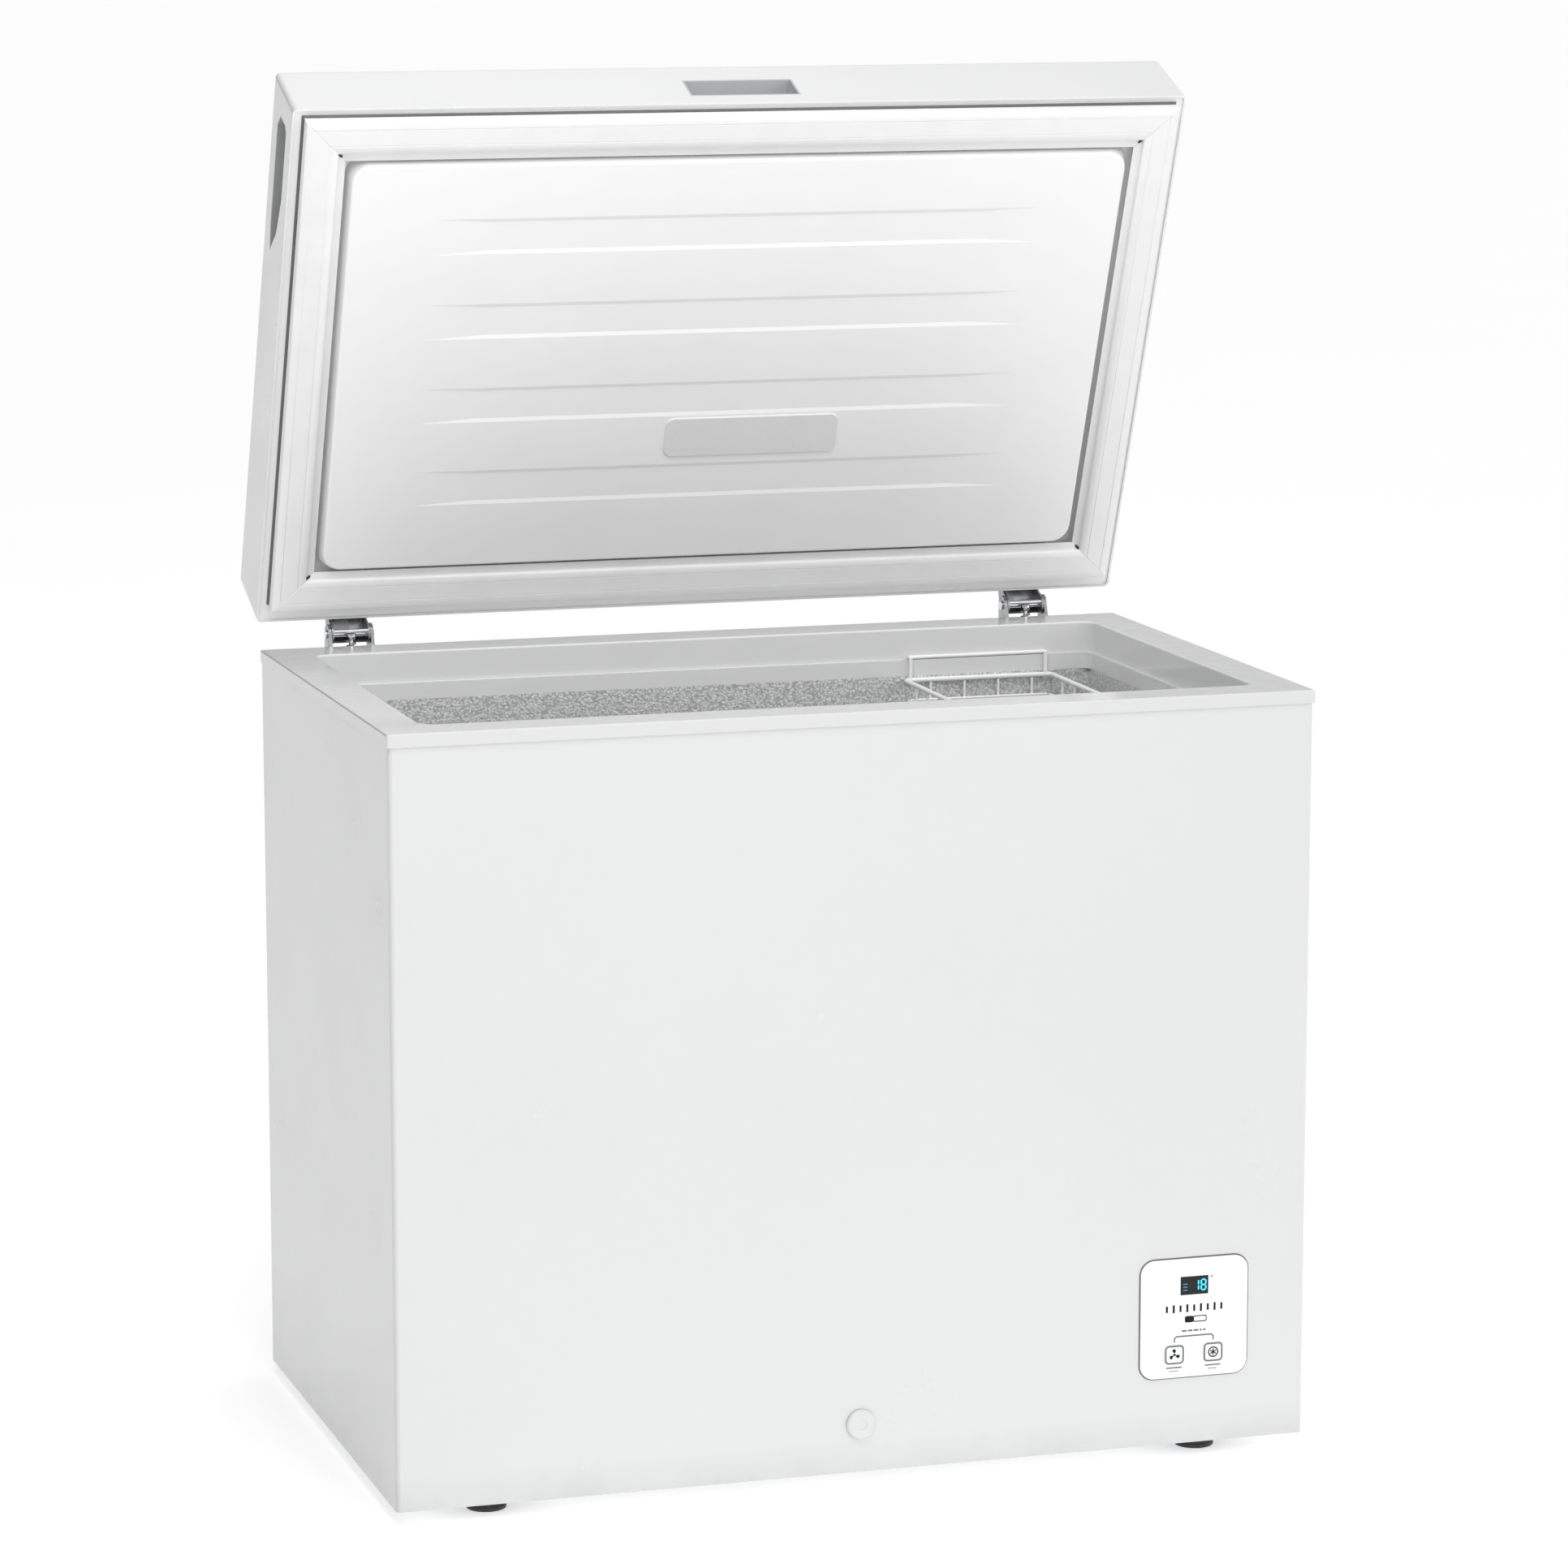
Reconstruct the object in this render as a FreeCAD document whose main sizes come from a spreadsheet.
import FreeCAD, Part
import math
import os
import re
import Sketcher

# Chest freezer, lid standing open on two spring-balanced hinges, wire basket hung in the compartment.
# Frame: +Z up, +Y towards the back, +X to the right of someone facing the front.
# Origin: under the middle of the whole object, lid open, on the floor.

V = FreeCAD.Vector
X_AXIS = V(1, 0, 0)
Y_AXIS = V(0, 1, 0)
Z_AXIS = V(0, 0, 1)

DIMENSIONS = (
    # cabinet
    ("cab_width", 905), ("cab_depth", 552), ("body_height", 730), ("foot_height", 15),
    ("front_face", -322.5), ("skin", 0.8), ("lip", 1.5), ("wrap_corner", 5),
    # plastic frame around the opening
    ("rim_side", 44), ("rim_front", 48), ("rim_rear", 52), ("rim_thick", 3), ("skirt_height", 12.5),
    ("ledge_drop", 31.5), ("breaker_drop", 48), ("ledge_width", 3.5), ("frame_wall", 2),
    ("rim_corner", 16), ("frame_corner", 2.5),
    # compartment and machine space
    ("floor_height", 80), ("machine_width", 230), ("machine_height", 230), ("step_wall", 50),
    ("coil_gap", 7), ("coil_band_low", 330), ("coil_band_high", 680), ("tray_thick", 2),
    # lid
    ("lid_gap", 28), ("lid_height", 74), ("lid_front", 6), ("lid_rear", 2), ("lid_wall", 2),
    ("lid_corner", 5), ("lid_edge", 5), ("open_angle", 68),
    ("rim_drop", 12), ("land_drop", 10), ("plug_drop", 27), ("plug_draft", 5), ("plug_corner", 20),
    ("plug_side", 55), ("plug_front", 50), ("plug_rear", 60),
    ("gasket_side", 11), ("gasket_front", 8), ("gasket_rear", 20), ("gasket_width", 33), ("gasket_air", 0.4),
    ("rib_width", 38), ("rib_pitch", 92), ("rib_first", 153), ("rib_length", 620), ("rib_fade", 60),
    ("rib_depth", 1.1),
    ("lamp_width", 180), ("lamp_depth", 43), ("lamp_x", 36), ("lamp_place", 202),
    ("grip_depth", 14), ("handle_width", 112), ("handle_depth", 18), ("handle_height", 36), ("handle_rise", 4),
    # hinges
    ("hinge_x", 358), ("pivot_back", 16), ("pivot_up", 10), ("ear_gap", 40), ("ear_thick", 3),
    ("ear_round", 10), ("leaf_width", 39.2), ("leaf_thick", 2), ("pin_radius", 3), ("pin_play", 0.06),
    ("crank", 7.5), ("crank_start", 40), ("roller_radius", 2), ("plunger_back", 8),
    # control panel, drain, feet
    ("panel_x", 336.2), ("panel_z", 124.7), ("panel_width", 109.4), ("panel_height", 117), ("panel_proud", 1.8),
    ("display_rise", 31.8), ("display_width", 28.6), ("display_height", 18.3),
    ("key_width", 20.3), ("key_height", 19.4), ("key_spread", 19.9), ("key_drop", 35.7), ("key_play", 0.3),
    ("drain_z", 47), ("drain_back", 110), ("cap_radius", 14.25),
    ("foot_radius", 19), ("foot_x", 355), ("foot_inset", 45),
    # basket
    ("basket_left", 204.5), ("basket_right", 362.5), ("basket_depth", 190), ("basket_rim_drop", 52),
    ("rim_wire", 2.4), ("hanger_wire", 2), ("cage_wire", 1.4), ("wire_pitch", 36.6),
    # machine parts
    ("can_x", 336), ("can_inset", 170), ("can_radius", 62), ("can_bottom", 40), ("can_height", 165),
)

RIM = "(foot_height + body_height)"
REAR = "(front_face + cab_depth)"
HALF = "(cab_width / 2)"
WRAP_X = f"({HALF} - lip)"
WRAP_FRONT = "(front_face + lip)"
WRAP_REAR = f"({REAR} - lip)"
LINER_SIDE = "(cab_width / 2 - rim_side - ledge_width)"
LINER_FRONT = "(front_face + rim_front + ledge_width)"
LINER_REAR = f"({REAR} - rim_rear - ledge_width)"
LINER_TOP = f"({RIM} - breaker_drop)"
MACHINE_LEFT = f"({HALF} - machine_width)"
MACHINE_TOP = "(foot_height + machine_height)"
LID_LOW = f"({RIM} + lid_gap)"
LID_FRONT = "(front_face - lid_front)"
LID_REAR = f"({REAR} + lid_rear)"
PIVOT_Y = f"({REAR} + pivot_back)"
PIVOT_Z = f"({RIM} + pivot_up)"
PANEL_Z = "(foot_height + panel_z)"
DRAIN_Z = "(foot_height + drain_z)"

doc = FreeCAD.newDocument("chest_freezer")
sheet = doc.addObject("Spreadsheet::Sheet", "Dims")
for row, (alias, size) in enumerate(DIMENSIONS, 1):
    sheet.set(f"A{row}", alias)
    sheet.set(f"B{row}", str(size))
    sheet.setAlias(f"B{row}", alias)
doc.recompute()

ALIASES = {alias for alias, size in DIMENSIONS}
NODES = []


# ---- expressions and small helpers -------------------------------------------------------------

def linked(expression):
    """The same expression with every driving dimension pointing at the sheet."""
    return re.sub(r"[a-z]+(?:_[a-z]+)*", lambda word: tie(word.group(0)), str(expression))


def tie(word):
    return f"Dims.{word}" if word in ALIASES else word


def number(expression):
    """The present value of an expression, in millimetres or degrees."""
    return float(sheet.evalExpression(linked(expression)))


def point(x, y, z):
    return V(number(x), number(y), number(z))


def bind(target, **expressions):
    for name, expression in expressions.items():
        target.setExpression(name, linked(expression))


def place(target, x="0", y="0", z="0"):
    """Ties a shape's position to the sheet."""
    for axis, expression in zip("xyz", (x, y, z)):
        target.setExpression(f"Placement.Base.{axis}", linked(expression))


def keep(target, label):
    """Marks an object as a sub-part to be written out."""
    target.Label = label
    NODES.append(target)
    return target


def on_lid(target):
    """Turns a piece drawn on the closed lid to the open lid's place."""
    turn = FreeCAD.Rotation(V(-1, 0, 0), number("open_angle"))
    target.Placement = FreeCAD.Placement(V(), turn, point("0", PIVOT_Y, PIVOT_Z)).multiply(target.Placement)
    return target


# ---- Part primitives and booleans --------------------------------------------------------------

def box(x0, x1, y0, y1, z0, z1):
    shape = doc.addObject("Part::Box", "Block")
    bind(shape, Length=f"({x1}) - ({x0})", Width=f"({y1}) - ({y0})", Height=f"({z1}) - ({z0})")
    place(shape, x0, y0, z0)
    return shape


def cylinder(x, y, z, radius, length, along=Z_AXIS):
    shape = doc.addObject("Part::Cylinder", "Round")
    bind(shape, Radius=radius, Height=length)
    shape.Placement = FreeCAD.Placement(V(), FreeCAD.Rotation(Z_AXIS, along))
    place(shape, x, y, z)
    return shape


def cut(base, *tools):
    for tool in tools:
        result = doc.addObject("Part::Cut", "Cut")
        result.Base = base
        result.Tool = tool
        base = result
    return base


def fuse(*shapes):
    result = doc.addObject("Part::MultiFuse", "Fuse")
    result.Shapes = list(shapes)
    result.Refine = True
    return result


def group(*shapes):
    """Separate solids kept as one node."""
    result = doc.addObject("Part::Compound", "Group")
    result.Links = list(shapes)
    return result


def rounded(base, radius, chosen):
    """Rounds the edges for which chosen(edge) holds."""
    doc.recompute()
    size = number(radius)
    picked = [n for n, edge in enumerate(base.Shape.Edges, 1) if chosen(edge)]
    if not picked:
        raise RuntimeError(f"no edge to round on {base.Label}")
    result = doc.addObject("Part::Fillet", "Rounded")
    result.Base = base
    result.Edges = [(n, size, size) for n in picked]
    return result


def upright(edge):
    """Edges that stand, or lean on a drafted wall."""
    ends = [vertex.Point for vertex in edge.Vertexes]
    return len(ends) == 2 and abs(ends[0].z - ends[1].z) > 0.8 * edge.Length


def corner_at(x, y):
    """Upright edges at one place."""
    spot_x, spot_y = number(x), number(y)
    return lambda edge: upright(edge) and all(
        abs(vertex.X - spot_x) < 0.01 and abs(vertex.Y - spot_y) < 0.01 for vertex in edge.Vertexes)


def at_height(height):
    level = number(height)
    return lambda edge: all(abs(vertex.Point.z - level) < 0.01 for vertex in edge.Vertexes)


def round_box(x0, x1, y0, y1, z0, z1, radius):
    return rounded(box(x0, x1, y0, y1, z0, z1), radius, upright)


def ring(outer, inner, z0, z1, outer_corner, inner_corner):
    """Band around the cabinet's opening between two insets, each (side, front, rear)."""
    def inset_box(inset, low, high, corner):
        side, front, rear = inset
        return round_box(f"-{HALF} + ({side})", f"{HALF} - ({side})", f"front_face + ({front})",
                         f"{REAR} - ({rear})", low, high, corner)
    hole = inset_box(inner, f"{z0} - 1", f"{z1} + 1", inner_corner)
    return cut(inset_box(outer, z0, z1, outer_corner), hole)


def drafted_block(inset, extra, top, bottom, draft, corner):
    """Tapered block hanging below the lid: insets (side, front, rear) at its root, smaller at its face."""
    side, front, rear = (f"({part} + {extra})" for part in inset)
    block = doc.addObject("Part::Wedge", "Drafted")
    half = f"({HALF} - {side})"
    low_y = f"({LID_FRONT} + {front})"
    high_y = f"({LID_REAR} - {rear})"
    bind(block, Xmin=f"-{half} + {draft}", Xmax=f"{half} - {draft}", X2min=f"-{half}", X2max=half,
         Ymin=bottom, Ymax=top, Zmin=f"-{high_y} + {draft}", Zmax=f"-{low_y} - {draft}",
         Z2min=f"-{high_y}", Z2max=f"-{low_y}")
    block.Placement = FreeCAD.Placement(V(), FreeCAD.Rotation(X_AXIS, 90))
    return rounded(block, corner, upright)


# ---- PartDesign bodies -------------------------------------------------------------------------

def new_body(name):
    body = doc.addObject("PartDesign::Body", name)
    body.Label = name
    return body


def sketch_on(body, role, offset="0"):
    sketch = body.newObject("Sketcher::SketchObject", f"{body.Name}_sketch")
    plane = next(feature for feature in body.Origin.OriginFeatures if feature.Role == role)
    sketch.AttachmentSupport = [(plane, "")]
    sketch.MapMode = "FlatFace"
    bind(sketch, **{"AttachmentOffset.Base.z": offset})
    return sketch


def tie_point(sketch, geometry, vertex, place_of):
    for kind, expression in zip(("DistanceX", "DistanceY"), place_of):
        value = number(expression)
        index = sketch.addConstraint(Sketcher.Constraint(kind, -1, 1, geometry, vertex, value))
        sketch.setExpression(f"Constraints[{index}]", linked(expression))


def outline(sketch, corners):
    """Closed outline of straight sides, every corner tied to the sheet."""
    start = sketch.GeometryCount
    count = len(corners)
    spots = [V(number(a), number(b), 0) for a, b in corners]
    for index in range(count):
        sketch.addGeometry(Part.LineSegment(spots[index], spots[(index + 1) % count]), False)
    for index in range(count):
        following = start + (index + 1) % count
        sketch.addConstraint(Sketcher.Constraint("Coincident", start + index, 2, following, 1))
        tie_point(sketch, start + index, 1, corners[index])


def rectangle(sketch, x0, x1, y0, y1):
    outline(sketch, ((x0, y0), (x1, y0), (x1, y1), (x0, y1)))


def circle(sketch, x, y, radius):
    centre = V(number(x), number(y), 0)
    index = sketch.addGeometry(Part.Circle(centre, Z_AXIS, number(radius)), False)
    tie_point(sketch, index, 3, (x, y))
    size = sketch.addConstraint(Sketcher.Constraint("Radius", index, number(radius)))
    sketch.setExpression(f"Constraints[{size}]", linked(radius))


def pad(body, sketch, length, reverse=False):
    feature = body.newObject("PartDesign::Pad", "Pad")
    feature.Profile = sketch
    feature.Reversed = reverse
    bind(feature, Length=length)
    doc.recompute()
    return feature


def pocket(body, sketch, length, reverse=False):
    """Cuts against the sketch's normal, or along it if reversed, and makes sure that it cuts."""
    before = body.Shape.Volume
    feature = body.newObject("PartDesign::Pocket", "Pocket")
    feature.Profile = sketch
    feature.Reversed = reverse
    bind(feature, Length=length)
    doc.recompute()
    if body.Shape.Volume > before - 0.01:
        raise RuntimeError(f"{body.Label}: a pocket cut nothing")
    return feature


def turned(name, role, profile):
    """Body of revolution about its own sketch's vertical axis."""
    body = new_body(name)
    sketch = sketch_on(body, role)
    outline(sketch, profile)
    feature = body.newObject("PartDesign::Revolution", "Turned")
    feature.Profile = sketch
    feature.ReferenceAxis = (sketch, ["V_Axis"])
    feature.Angle = 360
    doc.recompute()
    return body


def soften(body, radius, chosen):
    """PartDesign fillet on the chosen edges of the body's present tip."""
    doc.recompute()
    tip = body.Tip
    names = [f"Edge{n}" for n, edge in enumerate(tip.Shape.Edges, 1) if chosen(edge)]
    if not names:
        raise RuntimeError(f"no edge to soften on {body.Label}")
    feature = body.newObject("PartDesign::Fillet", "Softened")
    feature.Base = (tip, names)
    bind(feature, Radius=radius)
    doc.recompute()
    return feature


def column(face_y, tolerance=0.01):
    """Standing edges that lie at a given distance from the front."""
    level = number(face_y)
    return lambda edge: upright(edge) and abs(edge.Vertexes[0].Point.y - level) < tolerance


# ---- tubes and wires ---------------------------------------------------------------------------

def bent_path(points, bend, closed=False):
    """Straight runs joined by tangent arcs."""
    count = len(points)
    corners = []
    for index, here in enumerate(points):
        if not closed and index in (0, count - 1):
            corners.append((here, here, here))
            continue
        before = (points[index - 1] - here).normalize()
        after = (points[(index + 1) % count] - here).normalize()
        turn = math.pi - before.getAngle(after)
        reach = bend * math.tan(turn / 2)
        middle = (before + after).normalize() * (bend / math.cos(turn / 2) - bend)
        corners.append((here + before * reach, here + middle, here + after * reach))
    edges = []
    for index, (start, middle, end) in enumerate(corners):
        if start != end:
            edges.append(Part.Arc(start, middle, end).toShape())
        if closed or index < count - 1:
            edges.append(Part.LineSegment(end, corners[(index + 1) % count][0]).toShape())
    return Part.Wire(edges)


def tube(label, points, bend, radius, closed=False):
    """A rod or pipe of round section along a bent path."""
    path = bent_path(points, bend, closed)
    start = path.Edges[0]
    heading = start.tangentAt(start.FirstParameter)
    section = Part.Wire(Part.makeCircle(radius, start.valueAt(start.FirstParameter), heading))
    feature = doc.addObject("Part::Feature", label)
    feature.Shape = path.makePipeShell([section], True, True)
    if abs(feature.Shape.Volume - math.pi * radius ** 2 * path.Length) > 0.03 * feature.Shape.Volume:
        raise RuntimeError(f"{label}: the sweep lost its volume")
    return feature


def welded_wires(label, chains, radius):
    """Straight wires with round joints where they turn, welded into one solid."""
    pieces = []
    for chain in chains:
        for start, end in zip(chain, chain[1:]):
            pieces.append(Part.makeCylinder(radius, (end - start).Length, start, end - start))
        pieces += [Part.makeSphere(radius, joint) for joint in chain[1:-1]]
    feature = doc.addObject("Part::Feature", label)
    feature.Shape = pieces[0].multiFuse(pieces[1:]).removeSplitter()
    return feature


# ---- cabinet shell -----------------------------------------------------------------------------

def make_wrap():
    """One bent sheet: both sides and the front, with the cut-outs for panel, drain and grille."""
    body = new_body("cabinet_wrap")
    sketch = sketch_on(body, "XY_Plane", "foot_height")
    outline(sketch, (
        (f"-{WRAP_X}", WRAP_REAR), (f"-{WRAP_X}", WRAP_FRONT), (WRAP_X, WRAP_FRONT), (WRAP_X, WRAP_REAR),
        (f"{WRAP_X} - skin", WRAP_REAR), (f"{WRAP_X} - skin", f"{WRAP_FRONT} + skin"),
        (f"-{WRAP_X} + skin", f"{WRAP_FRONT} + skin"), (f"-{WRAP_X} + skin", WRAP_REAR)))
    pad(body, sketch, "body_height - rim_thick")
    soften(body, "wrap_corner", column(WRAP_FRONT))
    soften(body, "wrap_corner - skin", column(f"{WRAP_FRONT} + skin"))
    window = sketch_on(body, "XZ_Plane", f"-{WRAP_FRONT} + 1")
    rectangle(window, "panel_x - 46", "panel_x + 46", f"{PANEL_Z} - 48", f"{PANEL_Z} + 48")
    circle(window, "0", DRAIN_Z, "10.5")
    pocket(body, window, "5")
    vent = sketch_on(body, "YZ_Plane", f"{WRAP_X} + 1")
    rectangle(vent, f"{REAR} - 250", f"{REAR} - 90", "foot_height + 45", "foot_height + 165")
    pocket(body, vent, "5")
    keep(body, "cabinet_wrap")


def make_panels():
    rear = box(f"-{WRAP_X} + skin", f"{WRAP_X} - skin", f"{WRAP_REAR} - skin", WRAP_REAR,
               "foot_height", f"{RIM} - rim_thick")
    access = box(f"{MACHINE_LEFT} + 14", f"{WRAP_X} - 14", f"{WRAP_REAR} - 5", f"{WRAP_REAR} + 5",
                 "foot_height + 16", f"{MACHINE_TOP} - 16")
    keep(cut(rear, access), "rear_panel")
    front = f"{WRAP_FRONT} + skin"
    floor = box(f"-{WRAP_X} + skin", MACHINE_LEFT, front, f"{WRAP_REAR} - skin",
                "foot_height", "foot_height + skin")
    keep(rounded(floor, "wrap_corner", corner_at(f"-{WRAP_X} + skin", front)), "bottom_panel")
    tray = box(f"{MACHINE_LEFT} + skin", f"{WRAP_X} - skin", front, f"{WRAP_REAR} - skin",
               "foot_height", "foot_height + tray_thick")
    keep(rounded(tray, "wrap_corner", corner_at(f"{WRAP_X} - skin", front)), "machine_base")


def make_bulkhead():
    """Folded sheet that keeps the foam out of the machine space."""
    body = new_body("machine_bulkhead")
    sketch = sketch_on(body, "XZ_Plane", f"-{WRAP_REAR} + skin")
    right = f"{WRAP_X} - skin"
    outline(sketch, (
        (MACHINE_LEFT, "foot_height"), (f"{MACHINE_LEFT} + skin", "foot_height"),
        (f"{MACHINE_LEFT} + skin", f"{MACHINE_TOP} - skin"), (right, f"{MACHINE_TOP} - skin"),
        (right, MACHINE_TOP), (MACHINE_LEFT, MACHINE_TOP)))
    pad(body, sketch, f"{WRAP_REAR} - {WRAP_FRONT} - 2 * skin")
    drops = sketch_on(body, "XY_Plane", f"{MACHINE_TOP} + 1")
    for back in ("80", "120"):
        circle(drops, f"{LINER_SIDE} + 6", f"{REAR} - {back}", "5")
    pocket(body, drops, "5")
    link = sketch_on(body, "YZ_Plane", f"{MACHINE_LEFT} + 2")
    circle(link, f"{WRAP_REAR} - skin - 3.5", "foot_height + 185", "3")
    pocket(body, link, "5")
    soften(body, "wrap_corner", corner_at(right, f"{WRAP_FRONT} + skin"))
    keep(body, "machine_bulkhead")


def make_service_cover():
    """Slotted sheet over the machine space at the back, with its screws and the gland for the lead."""
    left, right = f"({MACHINE_LEFT} + 6)", f"({WRAP_X} - 6)"
    low, high = "(foot_height + 8)", f"({MACHINE_TOP} - 8)"
    body = new_body("service_cover")
    sketch = sketch_on(body, "XZ_Plane", f"-{WRAP_REAR}")
    rectangle(sketch, left, right, low, high)
    pad(body, sketch, "skin", reverse=True)
    slots = sketch_on(body, "XZ_Plane", f"-{WRAP_REAR} + 1")
    for index in range(7):
        middle = f"{low} + {70 + 19 * index}"
        rectangle(slots, f"{left} + 35", f"{right} - 35", f"{middle} - 3", f"{middle} + 3")
    circle(slots, f"{right} - 40", f"{low} + 30", "9")
    pocket(body, slots, "5")
    keep(body, "service_cover")
    heads = [cylinder(x, f"{WRAP_REAR} + skin", z, "4", "1.6", Y_AXIS)
             for x in (f"{left} + 4.5", f"{right} - 4.5") for z in (f"{low} + 4.5", f"{high} - 4.5")]
    keep(group(*heads), "service_cover_screws")
    gland = turned("cord_gland", "XY_Plane", (
        ("4", "-9"), ("8.9", "-9"), ("8.9", "0"), ("13", "0"), ("13", "3"), ("9", "5"), ("4", "5")))
    place(gland, f"{right} - 40", f"{WRAP_REAR} + skin", f"{low} + 30")
    keep(gland, "cord_gland")


def make_side_grille():
    body = new_body("side_grille")
    sketch = sketch_on(body, "YZ_Plane", WRAP_X)
    rectangle(sketch, f"{REAR} - 256", f"{REAR} - 84", "foot_height + 39", "foot_height + 171")
    pad(body, sketch, "1.3")
    slot = sketch_on(body, "YZ_Plane", f"{WRAP_X} + 2")
    rectangle(slot, f"{REAR} - 244", f"{REAR} - 96", "foot_height + 50", "foot_height + 55")
    first = pocket(body, slot, "5")
    rows = body.newObject("PartDesign::LinearPattern", "Rows")
    rows.Originals = [first]
    rows.Direction = (slot, ["V_Axis"])
    rows.Length = 99
    rows.Occurrences = 10
    body.Tip = rows
    keep(body, "side_grille")


def make_liner():
    """Folded aluminium tank with a raised step over the machine space."""
    def tank(grow):
        left, right = f"-{LINER_SIDE} - {grow}", f"{LINER_SIDE} + {grow}"
        low = f"floor_height - {grow}"
        step_x = f"{MACHINE_LEFT} - step_wall + {grow}"
        step_z = f"{MACHINE_TOP} + step_wall - {grow}"
        return ((left, LINER_TOP), (left, low), (step_x, low), (step_x, step_z), (right, step_z),
                (right, LINER_TOP))
    body = new_body("inner_liner")
    outside = sketch_on(body, "XZ_Plane", f"-{LINER_REAR} - skin")
    outline(outside, tank("skin"))
    pad(body, outside, f"{LINER_REAR} - {LINER_FRONT} + 2 * skin")
    inside = sketch_on(body, "XZ_Plane", f"-{LINER_FRONT}")
    outline(inside, tank("0"))
    pocket(body, inside, f"{LINER_REAR} - {LINER_FRONT}")
    drain = sketch_on(body, "XY_Plane", "floor_height + 1")
    circle(drain, "0", "front_face + drain_back", "8.2")
    pocket(body, drain, "5")
    keep(body, "inner_liner")


def make_foam():
    """Foam between skin and tank, hollow where the coils, the drain and the machine space are."""
    margin = "(skin + coil_gap)"
    block = box(f"-{WRAP_X} + {margin}", f"{WRAP_X} - {margin}", f"{WRAP_FRONT} + {margin}",
                f"{WRAP_REAR} - {margin}", "foot_height + skin", f"{RIM} - rim_thick")
    grow = "skin"
    left, right = f"-{LINER_SIDE} - {grow}", f"{LINER_SIDE} + {grow}"
    front, back = f"{LINER_FRONT} - {grow}", f"{LINER_REAR} + {grow}"
    low_tank = box(left, f"{MACHINE_LEFT} - step_wall + {grow}", front, back,
                   f"floor_height - {grow}", f"{MACHINE_TOP} + step_wall")
    high_tank = box(left, right, front, back, f"{MACHINE_TOP} + step_wall - {grow}", RIM)
    band = box(f"{left} - 9", f"{right} + 9", f"{front} - 9", f"{back} + 9", "coil_band_low", "coil_band_high")
    breaker = box(f"{left} - 6", f"{right} + 6", f"{front} - 6", f"{back} + 6", LINER_TOP, RIM)
    machine = box(MACHINE_LEFT, HALF, "front_face", REAR, "0", MACHINE_TOP)
    drops = [cylinder(f"{LINER_SIDE} + 6", f"{REAR} - {gap}", "200", "5", "140") for gap in ("80", "120")]
    outlet = cylinder("0", "front_face", DRAIN_Z, "8.4", "drain_back", Y_AXIS)
    elbow = box("-8.6", "8.6", "front_face + drain_back - 24", "front_face + drain_back + 8.6",
                f"{DRAIN_Z} - 8.6", "floor_height")
    keep(cut(block, low_tank, high_tank, band, breaker, machine, outlet, elbow, *drops), "cabinet_foam")


def make_top_frame():
    """Glossy moulded frame: rolled lip outside, flat rim, inner wall with the basket ledge."""
    edge = ("0", "0", "0")
    lip = ("lip", "lip", "lip")
    rim = ("rim_side", "rim_front", "rim_rear")
    rim_back = tuple(f"{part} - frame_wall" for part in rim)
    ledge = tuple(f"{part} + ledge_width" for part in rim)
    ledge_back = tuple(f"{part} + ledge_width - frame_wall" for part in rim)
    under = f"({RIM} - rim_thick)"
    ledge_top = f"({RIM} - ledge_drop)"
    parts = (
        ring(edge, rim, under, RIM, "frame_corner", "rim_corner"),
        ring(edge, lip, f"{RIM} - skirt_height", under, "frame_corner", "0.1"),
        ring(rim_back, rim, ledge_top, under, "rim_corner + frame_wall", "rim_corner"),
        ring(rim_back, ledge, f"{ledge_top} - frame_wall", ledge_top, "rim_corner + frame_wall",
             "rim_corner - ledge_width"),
        ring(ledge_back, ledge, LINER_TOP, f"{ledge_top} - frame_wall",
             "rim_corner - ledge_width + frame_wall", "rim_corner - ledge_width"))
    keep(rounded(fuse(*parts), "2", at_height(RIM)), "top_frame")


# ---- cooling circuit and machine space -----------------------------------------------------------

def make_evaporator():
    """Tube wound round the tank, both ends dropping into the machine space."""
    out = 5.5
    x = number(LINER_SIDE) + out
    front, back = number(LINER_FRONT) - out, number(LINER_REAR) + out
    low, high = number("coil_band_low") + 15, number("coil_band_high") - 15
    turns = 5
    fall = (high - low) / turns
    start_y, end_y = number(f"{REAR} - 80"), number(f"{REAR} - 120")
    points = [V(x, start_y, number(MACHINE_TOP) - 20), V(x, start_y, high)]
    for turn in range(turns):
        z = high - fall * turn
        points += [V(x, back, z), V(-x, back, z), V(-x, front, z - fall / 2), V(x, front, z - fall)]
    points += [V(x, end_y, low), V(x, end_y, number(MACHINE_TOP) - 20)]
    keep(tube("evaporator_coil", points, 6, 4), "evaporator_coil")


def make_condenser():
    """Serpentine bonded behind the left side skin, leaving along the back into the machine space."""
    x = number(f"-{WRAP_X} + skin") + 3.5
    back = number(f"{WRAP_REAR} - skin") - 3.5
    front = number(WRAP_FRONT) + 50
    low, high = number("foot_height") + 185, number(RIM) - 60
    passes = 10
    gap = (high - low) / passes
    points = [V(x, front, high)]
    for index in range(passes):
        z = high - gap * index
        near, far = (front, back - 50) if index % 2 == 0 else (back - 50, front)
        points += [V(x, far, z), V(x, far, z - gap)]
    points = points[:-1] + [V(x, front, low), V(x, back, low), V(number(MACHINE_LEFT) + 25, back, low)]
    keep(tube("condenser_coil", points, 5, 2.5), "condenser_coil")


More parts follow.
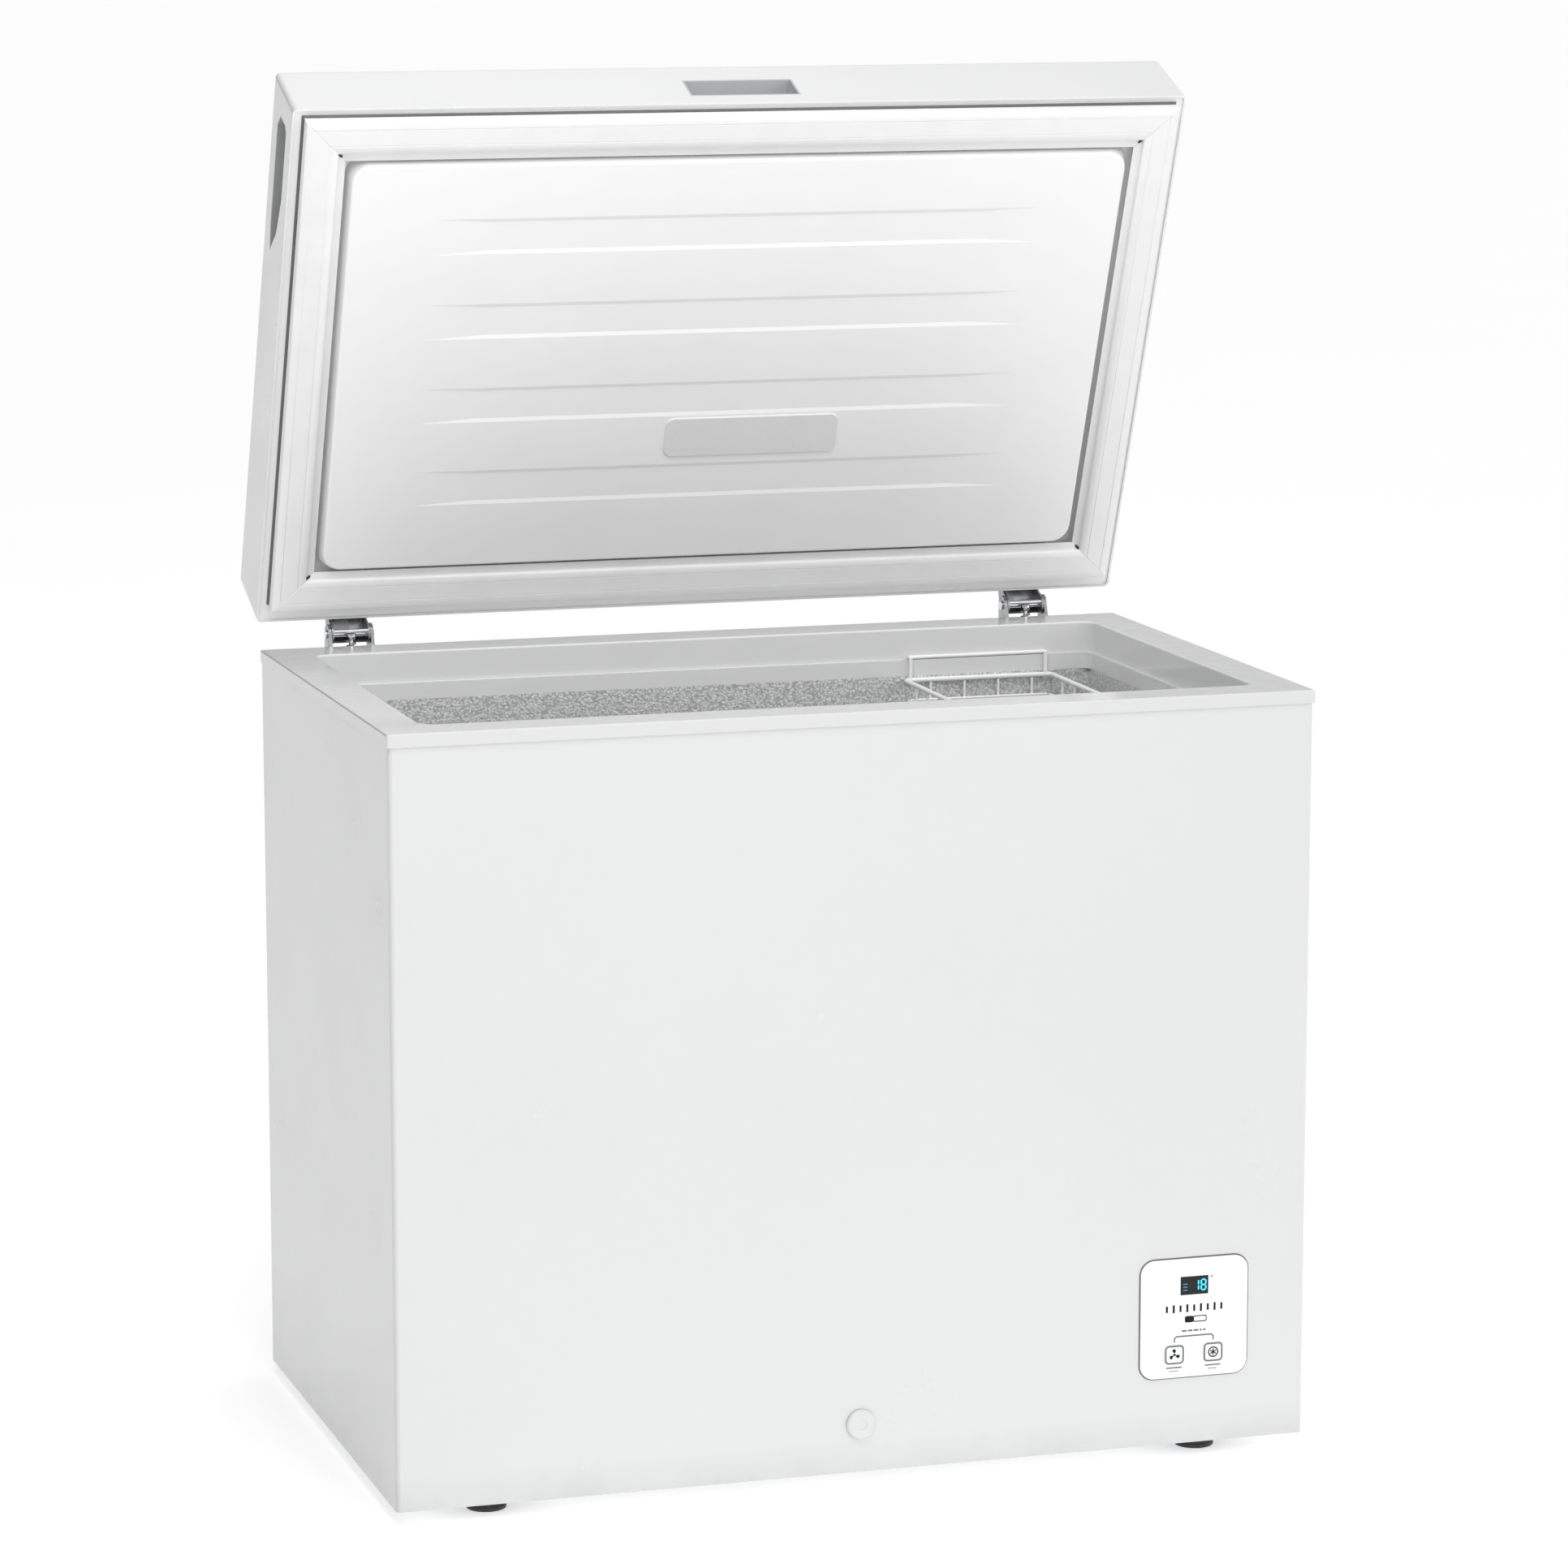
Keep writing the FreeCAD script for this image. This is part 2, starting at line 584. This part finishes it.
def make_compressor():
    x, y = "can_x", f"({REAR} - can_inset)"
    can = turned("compressor", "XZ_Plane", (
        ("0", "0"), ("can_radius - 14", "0"), ("can_radius", "14"), ("can_radius", "can_height * 0.55"),
        ("can_radius + 4", "can_height * 0.55"), ("can_radius + 4", "can_height * 0.55 + 5"),
        ("can_radius", "can_height * 0.55 + 5"), ("can_radius", "can_height - 34"),
        ("can_radius - 14", "can_height - 8"), ("can_radius - 34", "can_height"), ("0", "can_height")))
    place(can, x, y, "can_bottom")
    keep(can, "compressor")
    plate_low = "(can_bottom - 3)"
    plate = box(f"{x} - 80", f"{x} + 80", f"{y} - 52", f"{y} + 52", plate_low, "can_bottom")
    spots = [(f"{x} + {side * 68}", f"{y} + {end * 40}") for side in (-1, 1) for end in (-1, 1)]
    floor = "(foot_height + tray_thick)"
    holes = [cylinder(a, b, f"{plate_low} - 5", "3.5", "20") for a, b in spots]
    keep(cut(plate, *holes), "compressor_mount_plate")
    rubbers = [cut(cylinder(a, b, floor, "10", f"{plate_low} - {floor}"),
                   cylinder(a, b, f"{floor} - 1", "3.5", "60")) for a, b in spots]
    keep(group(*rubbers), "compressor_grommets")
    bolts = [fuse(cylinder(a, b, floor, "3", f"can_bottom - {floor}"),
                  cylinder(a, b, "can_bottom", "7", "3")) for a, b in spots]
    keep(group(*bolts), "compressor_bolts")
    keep(box(f"{x} - 24", f"{x} + 24", f"{y} - can_radius - 38", f"{y} - can_radius - 4.5",
             "can_bottom + 30", "can_bottom + 84"), "start_relay_cover")


def make_pipework():
    """Discharge, suction and liquid lines inside the machine space."""
    x, y = number("can_x"), number(f"{REAR} - can_inset")
    top = number("can_bottom + can_height")
    side = number(LINER_SIDE) + 6
    low = number(MACHINE_TOP) - 20
    coil = point(f"{MACHINE_LEFT} + 25", f"{WRAP_REAR} - skin - 3.5", "foot_height + 185")
    drier_x, drier_y = number(MACHINE_LEFT) + 30, number(REAR) - 60
    keep(tube("discharge_line", [
        V(x, y + 66.5, 130), V(x, coil.y, 130), V(x, coil.y, coil.z), coil], 12, 2.5), "discharge_line")
    keep(tube("suction_line", [
        V(x + 66.3, y + 10, 120), V(x + 88, y + 10, 120), V(x + 88, number(f"{REAR} - 120"), 160),
        V(side, number(f"{REAR} - 120"), 190), V(side, number(f"{REAR} - 120"), low)], 8, 3.5),
        "suction_line")
    drier = turned("filter_drier", "XZ_Plane", (
        ("0", "0"), ("2.5", "0"), ("2.5", "8"), ("9", "16"), ("9", "78"), ("2.5", "88"), ("2.5", "96"),
        ("0", "96")))
    place(drier, str(drier_x), str(drier_y), "60")
    keep(drier, "filter_drier")
    above = low - 12
    keep(tube("capillary_line", [
        V(drier_x, drier_y, 156), V(drier_x, drier_y, top + 12), V(side - 30, number(f"{REAR} - 80"), top + 12),
        V(side, number(f"{REAR} - 80"), above), V(side, number(f"{REAR} - 80"), low)], 8, 1.2),
        "capillary_line")


# ---- control panel -----------------------------------------------------------------------------

def key_spots():
    return {"fan_button": "(panel_x - key_spread)", "mode_button": "(panel_x + key_spread)"}


def make_control_panel():
    face = "(front_face + lip)"
    key_z = f"({PANEL_Z} - key_drop)"
    display_z = f"({PANEL_Z} + display_rise)"
    body = new_body("control_fascia")
    plate = sketch_on(body, "XZ_Plane", f"-{face}")
    rectangle(plate, "panel_x - panel_width / 2", "panel_x + panel_width / 2",
              f"{PANEL_Z} - panel_height / 2", f"{PANEL_Z} + panel_height / 2")
    pad(body, plate, "panel_proud")
    soften(body, "14", lambda edge: edge.Length < number("panel_proud") + 0.01)
    holes = sketch_on(body, "XZ_Plane", f"-{face} + panel_proud + 1")
    rectangle(holes, "panel_x - display_width / 2", "panel_x + display_width / 2",
              f"{display_z} - display_height / 2", f"{display_z} + display_height / 2")
    for middle in key_spots().values():
        rectangle(holes, f"{middle} - key_width / 2 - key_play", f"{middle} + key_width / 2 + key_play",
                  f"{key_z} - key_height / 2 - key_play", f"{key_z} + key_height / 2 + key_play")
    pocket(body, holes, "5")
    keep(body, "control_fascia")
    keep(box("panel_x - display_width / 2", "panel_x + display_width / 2", f"{face} - 1.6", face,
             f"{display_z} - display_height / 2", f"{display_z} + display_height / 2"), "display_window")
    tray = box("panel_x - 45.7", "panel_x + 45.7", face, f"{face} + 18", f"{PANEL_Z} - 47.7", f"{PANEL_Z} + 47.7")
    hollow = box("panel_x - 43.7", "panel_x + 43.7", f"{face} - 1", f"{face} + 16",
                 f"{PANEL_Z} - 45.7", f"{PANEL_Z} + 45.7")
    keep(cut(tray, hollow), "control_housing")
    keep(box("panel_x - 42", "panel_x + 42", f"{face} + 12", f"{face} + 13.6",
             f"{PANEL_Z} - 44", f"{PANEL_Z} + 44"), "control_board")
    keep(box("panel_x - 16", "panel_x + 16", f"{face} + 0.4", f"{face} + 12",
             f"{display_z} - 10", f"{display_z} + 10"), "display_module")
    switches = [box(f"{middle} - 3", f"{middle} + 3", f"{face} + 7.2", f"{face} + 12", f"{key_z} - 3",
                    f"{key_z} + 3") for middle in key_spots().values()]
    keep(group(*switches), "key_switches")
    for label, middle in key_spots().items():
        key = new_body(label)
        cap = sketch_on(key, "XZ_Plane", f"-{face} - 2")
        rectangle(cap, "-key_width / 2", "key_width / 2", "-key_height / 2", "key_height / 2")
        pad(key, cap, "panel_proud + 2.6")
        soften(key, "4.5", lambda edge: abs(edge.Length - number("panel_proud + 2.6")) < 0.01)
        stem = sketch_on(key, "XZ_Plane", f"-{face} - 2")
        rectangle(stem, "-2.5", "2.5", "-2.5", "2.5")
        pad(key, stem, "4.2", reverse=True)
        place(key, middle, "0", key_z)
        keep(key, label)


# ---- drain, feet -------------------------------------------------------------------------------

def make_drain():
    y = "(front_face + drain_back)"

    def route(past):
        return [point("0", f"front_face + lip - {past}", DRAIN_Z), point("0", y, DRAIN_Z),
                point("0", y, f"floor_height + {past}")]
    keep(cut(tube("drain_outside", route(0), 12, 8), tube("drain_bore", route(2), 12, 6.5)), "drain_elbow")
    cap = turned("drain_cap", "XY_Plane", (
        ("0", "-1.4"), ("5", "-1.4"), ("6", "-2"), ("cap_radius - 1.5", "-2"), ("cap_radius", "-0.6"),
        ("cap_radius", "1.1"), ("6", "1.1"), ("6", "12"), ("0", "12")))
    place(cap, "0", "front_face", DRAIN_Z)
    keep(cap, "drain_cap")
    plug = turned("drain_plug", "XZ_Plane", (
        ("0", "-10"), ("6", "-10"), ("6", "0.4"), ("11", "0.4"), ("11", "3"), ("9.5", "4.5"), ("3", "4.5"),
        ("3", "9"), ("0", "9")))
    place(plug, "0", y, "floor_height")
    keep(plug, "drain_plug")


def foot_spots():
    return [(f"{side} * foot_x", y) for side in (-1, 1)
            for y in ("front_face + foot_inset", f"{REAR} - foot_inset")]


def make_feet():
    top = "(foot_height - 1.5)"
    pads = [cut(cylinder(x, y, "0", "foot_radius", top), cylinder(x, y, "-1", "8", "6"),
                cylinder(x, y, "4", "4", "20")) for x, y in foot_spots()]
    keep(group(*pads), "feet")
    bolts = [fuse(cylinder(x, y, "1", "7.5", "4"), cylinder(x, y, "5", "4", f"{top} - 5"))
             for x, y in foot_spots()]
    keep(group(*bolts), "foot_bolts")
    plates = [box(f"{x} - 46", f"{x} + 46", f"{y} - 30", f"{y} + 30", top, "foot_height")
              for x, y in foot_spots()]
    keep(group(*plates), "foot_plates")


# ---- hinges ------------------------------------------------------------------------------------

def hinge_places():
    return {"left": "-hinge_x", "right": "hinge_x"}


def make_bracket(label, x):
    """Channel screwed to the back, ears round the pivot, shelf under the spring."""
    half = "(ear_gap / 2 + ear_thick)"
    low = f"({RIM} - 113)"
    body = new_body(label)
    side = sketch_on(body, "YZ_Plane", f"-{half}")
    outline(side, (
        (f"{REAR} - lip", low), (f"{REAR} + 20", low), (f"{PIVOT_Y} + ear_round", f"{low} + 14"),
        (f"{PIVOT_Y} + ear_round", PIVOT_Z), (f"{PIVOT_Y} - ear_round", PIVOT_Z),
        (f"{REAR} + 0.5", f"{RIM} - 4"), (f"{REAR} + 0.5", f"{RIM} - skirt_height - 0.5"),
        (f"{REAR} - lip", f"{RIM} - skirt_height - 0.5")))
    pad(body, side, f"2 * {half}")
    ear = sketch_on(body, "YZ_Plane", f"-{half}")
    circle(ear, PIVOT_Y, PIVOT_Z, "ear_round")
    pad(body, ear, f"2 * {half}")
    channel = sketch_on(body, "YZ_Plane", "ear_gap / 2")
    rectangle(channel, f"{REAR} + 0.5", f"{REAR} + 60", f"{low} - 5", f"{PIVOT_Z} + 40")
    pocket(body, channel, "ear_gap")
    shelf = sketch_on(body, "XY_Plane", f"{RIM} - 73")
    rectangle(shelf, "-ear_gap / 2", "ear_gap / 2", f"{REAR} + 0.5", f"{REAR} + 20")
    pad(body, shelf, "2")
    flanges = sketch_on(body, "XZ_Plane", f"-{REAR} - 0.5")
    for sign in ("-1", "1"):
        rectangle(flanges, f"{sign} * ({half} + 7) - 7", f"{sign} * ({half} + 7) + 7", low,
                  f"{RIM} - skirt_height - 0.5")
    pad(body, flanges, "2")
    rod_hole = sketch_on(body, "XY_Plane", f"{RIM} - 70")
    circle(rod_hole, "0", f"{REAR} + plunger_back", "2.9")
    pocket(body, rod_hole, "4")
    pin_hole = sketch_on(body, "YZ_Plane", f"{half} + 1")
    circle(pin_hole, PIVOT_Y, PIVOT_Z, "pin_radius")
    pocket(body, pin_hole, f"2 * {half} + 2")
    place(body, x)
    keep(body, label)


def make_leaf(label, x):
    """Channel on the lid: back plate on the rear wall, web over the pivot, two ears."""
    half = "(leaf_width / 2)"
    sheet_thick = "leaf_thick"
    body = new_body(label)
    side = sketch_on(body, "YZ_Plane", f"-{half}")
    outline(side, (
        (LID_REAR, f"{LID_LOW} + 58"), (f"{LID_REAR} + {sheet_thick}", f"{LID_LOW} + 58"),
        (f"{LID_REAR} + {sheet_thick}", f"{LID_LOW} + 14"), (f"{PIVOT_Y} + 9", f"{LID_LOW} - 4"),
        (f"{PIVOT_Y} + ear_round", PIVOT_Z), (f"{PIVOT_Y} - ear_round", PIVOT_Z),
        (f"{LID_REAR} + 4", f"{LID_LOW} - 8"), (LID_REAR, f"{LID_LOW} - 2")))
    pad(body, side, "leaf_width")
    eye = sketch_on(body, "YZ_Plane", f"-{half}")
    circle(eye, PIVOT_Y, PIVOT_Z, "ear_round + 0.5")
    pad(body, eye, "leaf_width")
    inside = sketch_on(body, "YZ_Plane", f"{half} - leaf_thick")
    outline(inside, (
        (f"{LID_REAR} + {sheet_thick}", f"{LID_LOW} + 11.5"), (f"{PIVOT_Y} + 7.2", f"{LID_LOW} - 5"),
        (f"{PIVOT_Y} + 8.2", PIVOT_Z), (f"{PIVOT_Y} + 14", PIVOT_Z), (f"{PIVOT_Y} + 14", f"{PIVOT_Z} - 16"),
        (f"{REAR} - 4", f"{PIVOT_Z} - 16"), (f"{REAR} - 4", f"{LID_LOW} - 2"),
        (f"{LID_REAR} + {sheet_thick}", f"{LID_LOW} - 2")))
    pocket(body, inside, "leaf_width - 2 * leaf_thick")
    holes = sketch_on(body, "YZ_Plane", f"{half} + 1")
    circle(holes, PIVOT_Y, PIVOT_Z, "pin_radius + pin_play")
    circle(holes, f"{PIVOT_Y} - crank * cos(crank_start * 1deg)",
           f"{PIVOT_Z} - crank * sin(crank_start * 1deg)", "roller_radius")
    pocket(body, holes, "leaf_width + 2")
    body.Placement.Base = point(x, "0", "0")
    keep(on_lid(body), label)


def make_spring(label, x):
    """Coil spring between the bracket's shelf and the plunger's head."""
    low = number(f"{RIM} - 71") + 0.9
    high = number(plunger_top()) - 3.9
    turns = 14
    helix = Part.makeHelix((high - low) / turns, high - low, 4.2)
    helix.Placement = FreeCAD.Placement(point(x, f"{REAR} + plunger_back", str(low)), FreeCAD.Rotation())
    start = helix.Edges[0]
    section = Part.Wire(Part.makeCircle(0.8, start.valueAt(start.FirstParameter),
                                        start.tangentAt(start.FirstParameter)))
    feature = doc.addObject("Part::Feature", label)
    feature.Shape = Part.Wire(helix.Edges).makePipeShell([section], True, True)
    keep(feature, label)


def plunger_top():
    """Height of the plunger's head under the roller, with the lid at its open angle."""
    return f"({PIVOT_Z} + crank * sin((open_angle - crank_start) * 1deg) - roller_radius - 0.6)"


def make_plunger(label, x):
    body = turned(label, "XZ_Plane", (
        ("0", "0"), ("5", "0"), ("5", "-3"), ("2.5", "-3"), ("2.5", "-98"), ("4.5", "-98"), ("4.5", "-102"),
        ("0", "-102")))
    place(body, x, f"{REAR} + plunger_back", plunger_top())
    keep(body, label)


def make_hinges():
    half = "(ear_gap / 2 + ear_thick)"
    pins, bracket_screws, leaf_screws, rollers = [], [], [], []
    for side, x in hinge_places().items():
        make_bracket(f"hinge_bracket_{side}", x)
        make_leaf(f"hinge_leaf_{side}", x)
        make_plunger(f"hinge_plunger_{side}", x)
        make_spring(f"hinge_spring_{side}", x)
        pins.append(fuse(
            cylinder(f"{x} - {half} - 1.7", PIVOT_Y, PIVOT_Z, "pin_radius", f"2 * {half} + 3.4", X_AXIS),
            cylinder(f"{x} - {half} - 1.7", PIVOT_Y, PIVOT_Z, "4.6", "1.5", X_AXIS),
            cylinder(f"{x} + {half} + 0.2", PIVOT_Y, PIVOT_Z, "4.6", "1.5", X_AXIS)))
        bracket_screws += [
            cylinder(f"{x} + {sign} * ({half} + 7)", f"{REAR} + 0.5", f"{RIM} - {drop}", "4.5", "2", Y_AXIS)
            for sign in (-1, 1) for drop in (35, 95)]
        leaf_screws += [
            cylinder(f"{x} + {10 * sign}", f"{LID_REAR} + leaf_thick", f"{LID_LOW} + {rise}", "4", "2", Y_AXIS)
            for sign in (-1, 1) for rise in (26, 46)]
        rollers.append(cylinder(
            f"{x} - leaf_width / 2", f"{PIVOT_Y} - crank * cos(crank_start * 1deg)",
            f"{PIVOT_Z} - crank * sin(crank_start * 1deg)", "roller_radius", "leaf_width", X_AXIS))
    keep(group(*pins), "hinge_pins")
    keep(group(*bracket_screws), "hinge_bracket_screws")
    keep(on_lid(group(*leaf_screws)), "hinge_leaf_screws")
    keep(on_lid(group(*rollers)), "hinge_rollers")


# ---- lid ---------------------------------------------------------------------------------------

def lid_block(inset, low, high, corner):
    return round_box(f"-{HALF} + ({inset})", f"{HALF} - ({inset})", f"{LID_FRONT} + ({inset})",
                     f"{LID_REAR} - ({inset})", low, high, corner)


def grip_recess(sign):
    """Scooped finger grip in the lid's side wall, near the front and tapering towards the back."""
    body = new_body("grip_cut")
    sketch = sketch_on(body, "YZ_Plane", f"{HALF} - grip_depth" if sign > 0 else f"-{HALF} + grip_depth")
    outline(sketch, tuple((f"{LID_FRONT} + {along}", f"{LID_LOW} + {rise}") for along, rise in (
        (36, 10), (106, 10), (147, 22), (176, 45), (150, 49), (44, 49), (30, 38), (30, 16))))
    pad(body, sketch, "grip_depth + 5", reverse=sign < 0)
    bottom = number(f"{HALF} - grip_depth") * sign
    return rounded(body, "5", lambda edge: all(abs(v.Point.x - bottom) < 0.01 for v in edge.Vertexes))


def grip_tub(sign):
    inner = f"({HALF} - grip_depth - lid_wall)"
    outer = f"({HALF} - lid_wall / 2)"
    ends = (inner, outer) if sign > 0 else (f"-{outer}", f"-{inner}")
    return box(*ends, f"{LID_FRONT} + 26", f"{LID_FRONT} + 180", f"{LID_LOW} + 6", f"{LID_LOW} + 53")


def make_lid_shell():
    top = f"({LID_LOW} + lid_height)"
    rim = f"({LID_LOW} - rim_drop)"
    outer = rounded(lid_block("0", rim, top, "lid_corner"), "lid_edge", at_height(top))
    inner = lid_block("lid_wall", f"{rim} - 1", f"{top} - lid_wall", "lid_corner - lid_wall")
    walls = fuse(cut(outer, inner), grip_tub(-1), grip_tub(1))
    notch = box("-handle_width / 2", "handle_width / 2", f"{LID_FRONT} - 5", f"{LID_FRONT} + 5",
                f"{LID_LOW} + handle_rise", f"{LID_LOW} + handle_rise + handle_height")
    keep(on_lid(cut(walls, grip_recess(-1), grip_recess(1), notch)), "lid_shell")


def make_handle_insert():
    low, high = f"({LID_LOW} + handle_rise)", f"({LID_LOW} + handle_rise + handle_height)"
    cup = box("-handle_width / 2", "handle_width / 2", LID_FRONT, f"{LID_FRONT} + handle_depth + 2", low, high)
    hollow = box("-handle_width / 2 + 2", "handle_width / 2 - 2", f"{LID_FRONT} - 1",
                 f"{LID_FRONT} + handle_depth", f"{low} + 2", f"{high} - 2")
    hollow = rounded(hollow, "4", lambda edge: all(vertex.Y > number(LID_FRONT) for vertex in edge.Vertexes))
    keep(on_lid(cut(cup, hollow)), "handle_insert")


PLUG = ("plug_side", "plug_front", "plug_rear")


def lamp_box(shrink, low, high):
    y = f"({LID_REAR} - lamp_place)"
    return box(f"lamp_x - lamp_width / 2 + {shrink}", f"lamp_x + lamp_width / 2 - {shrink}",
               f"{y} - lamp_depth / 2 + {shrink}", f"{y} + lamp_depth / 2 - {shrink}", low, high)


def make_lid_liner():
    """Formed inner panel: tray with the land for the seal, drafted plug with four shallow pressed bands."""
    flange_top = f"({LID_LOW} + 2)"
    face = f"({LID_LOW} - plug_drop)"
    land = f"({LID_LOW} - land_drop)"
    outside = fuse(lid_block("lid_wall", land, flange_top, "lid_corner - lid_wall"),
                   rounded(drafted_block(PLUG, "0", land, face, "plug_draft", "plug_corner"), "3", at_height(face)))
    bands = []
    for index in range(4):
        middle = f"({LID_REAR} - rib_first - {index} * rib_pitch)"
        band = doc.addObject("Part::Wedge", "Band")
        bind(band, Xmin="-rib_length / 2", Xmax="rib_length / 2", X2min="-rib_length / 2 + rib_fade",
             X2max="rib_length / 2 - rib_fade", Ymin=f"{face} - 0.01", Ymax=f"{face} + rib_depth",
             Zmin=f"-{middle} - rib_width / 2", Zmax=f"-{middle} + rib_width / 2",
             Z2min=f"-{middle} - rib_width / 2 + 4", Z2max=f"-{middle} + rib_width / 2 - 4")
        band.Placement = FreeCAD.Placement(V(), FreeCAD.Rotation(X_AXIS, 90))
        bands.append(band)
    hollow = fuse(lid_block("lid_wall + 2", f"{land} + 2", f"{flange_top} + 1", "lid_corner - lid_wall - 2"),
                  drafted_block(PLUG, "2", f"{land} + 3", f"{face} + 2", "plug_draft", "plug_corner - 2"))
    opening = lamp_box("2", f"{face} - 5", f"{land}")
    keep(on_lid(cut(outside, hollow, opening, *bands)), "lid_liner")


def make_lid_foam():
    land = f"({LID_LOW} - land_drop)"
    face = f"({LID_LOW} - plug_drop)"
    main = lid_block("lid_wall", f"{LID_LOW} + 2", f"{LID_LOW} + lid_height - lid_wall", "lid_corner - lid_wall")
    lower = lid_block("lid_wall + 2", f"{land} + 2", f"{LID_LOW} + 2", "lid_corner - lid_wall - 2")
    plug = drafted_block(PLUG, "2.2", f"{land} + 3", f"{face} + 2", "plug_draft", "plug_corner - 2")
    handle = box("-handle_width / 2", "handle_width / 2", LID_FRONT, f"{LID_FRONT} + handle_depth + 2",
                 f"{LID_LOW} + handle_rise", f"{LID_LOW} + handle_rise + handle_height")
    lamp = lamp_box("2", f"{face} - 2", f"{land} + 4")
    keep(on_lid(cut(fuse(main, lower, plug), grip_tub(-1), grip_tub(1), handle, lamp)), "lid_foam")


def make_gasket():
    low, high = f"({LID_LOW} - lid_gap + gasket_air)", f"({LID_LOW} - land_drop)"

    def frame(extra, bottom, top):
        return box(f"-{HALF} + gasket_side + {extra}", f"{HALF} - gasket_side - {extra}",
                   f"{LID_FRONT} + gasket_front + {extra}", f"{LID_REAR} - gasket_rear - {extra}", bottom, top)
    band = cut(rounded(frame("0", low, high), "4", upright), frame("gasket_width", f"{low} - 1", f"{high} + 1"))
    keep(on_lid(rounded(band, "3", at_height(low))), "lid_gasket")


def make_lamp():
    face = f"({LID_LOW} - plug_drop)"
    lens = rounded(rounded(lamp_box("0", f"{face} - 1.6", face), "9", upright), "1", at_height(f"{face} - 1.6"))
    keep(on_lid(lens), "lamp_lens")
    shell = lamp_box("2", face, f"{face} + 18")
    hollow = lamp_box("4", f"{face} - 1", f"{face} + 16")
    keep(on_lid(cut(shell, hollow)), "lamp_housing")
    y = f"({LID_REAR} - lamp_place)"
    board = box("lamp_x - 75", "lamp_x + 75", f"{y} - 10", f"{y} + 10", f"{face} + 14", f"{face} + 15.6")
    lights = [cylinder(f"lamp_x + {step}", y, f"{face} + 11.5", "2.5", "2.5") for step in (-60, -20, 20, 60)]
    keep(on_lid(fuse(board, *lights)), "lamp_board")


# ---- basket ------------------------------------------------------------------------------------

def make_basket():
    left, right = number("basket_left"), number("basket_right")
    rim_wire, hanger, wire = number("rim_wire"), number("hanger_wire"), number("cage_wire")
    top = number(f"{RIM} - basket_rim_drop")
    front = number(LINER_FRONT) + 3.4
    back = number(LINER_REAR) - 3.4
    rim_points = [V(left, front, top), V(right, front, top), V(right, back, top), V(left, back, top)]
    rim_points.insert(0, V((left + right) / 2, front, top))
    rim_points = rim_points[:1] + rim_points[2:] + rim_points[1:2]
    keep(tube("basket_rim", rim_points[1:], 6, rim_wire, closed=True), "basket_rim")

    # hangers: up from the rim at both ends, over the ledge of the frame
    ledge = number(f"{RIM} - ledge_drop") + hanger + 0.3
    hooks = []
    for inner, outer in ((front, number("front_face + rim_front") + hanger + 0.4),
                         (back, number(f"{REAR} - rim_rear") - hanger - 0.4)):
        low = top + rim_wire
        x0, x1 = left + 6, right - 6
        chain = [V(x0, inner, low), V(x0, inner, ledge), V(x0, outer, ledge), V(x1, outer, ledge),
                 V(x1, inner, ledge), V(x1, inner, low)]
        hooks.append(welded_wires("hook", [chain], hanger))
    keep(group(*hooks), "basket_hangers")

    # five flat grids: two ends, two long sides, floor
    head = top - rim_wire
    floor = top - number("basket_depth")
    foot = floor + wire
    lap = 2 * wire - 0.3
    pitch = number("wire_pitch")
    xs = [left + 27.6 + pitch * index for index in range(4)]
    count = int((back - front - 2 * pitch * 0.6) / pitch)
    ys = [(front + back) / 2 + pitch * (index - count / 2) for index in range(count + 1)]
    levels = [head - 18 - index * 38 for index in range(5)]
    grids = []
    for y, inward in ((front, 1), (back, -1)):
        lines = [[V(x, y, foot), V(x, y, head)] for x in xs]
        lines += [[V(left + 5, y + inward * lap, z), V(right - 5, y + inward * lap, z)] for z in levels]
        grids.append(welded_wires("end_grid", lines, wire))
    for x, inward in ((left, 1), (right, -1)):
        lines = [[V(x, y, foot), V(x, y, head)] for y in ys]
        lines += [[V(x + inward * lap, front + 5, z), V(x + inward * lap, back - 5, z)] for z in levels]
        grids.append(welded_wires("side_grid", lines, wire))
    lines = [[V(x, front - wire, floor), V(x, back + wire, floor)] for x in xs]
    lines += [[V(left - wire, y, floor - lap), V(right + wire, y, floor - lap)] for y in ys]
    grids.append(welded_wires("floor_grid", lines, wire))
    keep(group(*grids), "basket_cage")


# ---- build and write ---------------------------------------------------------------------------

def check_all():
    doc.recompute()
    for item in doc.Objects:
        if {"Invalid", "Error"} & set(item.State):
            raise RuntimeError(f"{item.Label} failed: {item.State}")
    for node in NODES:
        if node.Shape.isNull() or not node.Shape.isValid() or not node.Shape.Solids:
            raise RuntimeError(f"{node.Label} has no valid solid")


def main():
    make_wrap()
    make_panels()
    make_bulkhead()
    make_service_cover()
    make_side_grille()
    make_liner()
    make_foam()
    make_top_frame()
    make_evaporator()
    make_condenser()
    make_compressor()
    make_pipework()
    make_control_panel()
    make_drain()
    make_feet()
    make_hinges()
    make_lid_shell()
    make_handle_insert()
    make_lid_liner()
    make_lid_foam()
    make_gasket()
    make_lamp()
    make_basket()
    check_all()
    os.makedirs("parts", exist_ok=True)
    for node in NODES:
        node.Shape.exportStep(f"parts/{node.Label}.step")
        print(node.Label, len(node.Shape.Solids), round(node.Shape.Volume / 1000, 1))
    print(len(NODES), "sub-parts")


main()
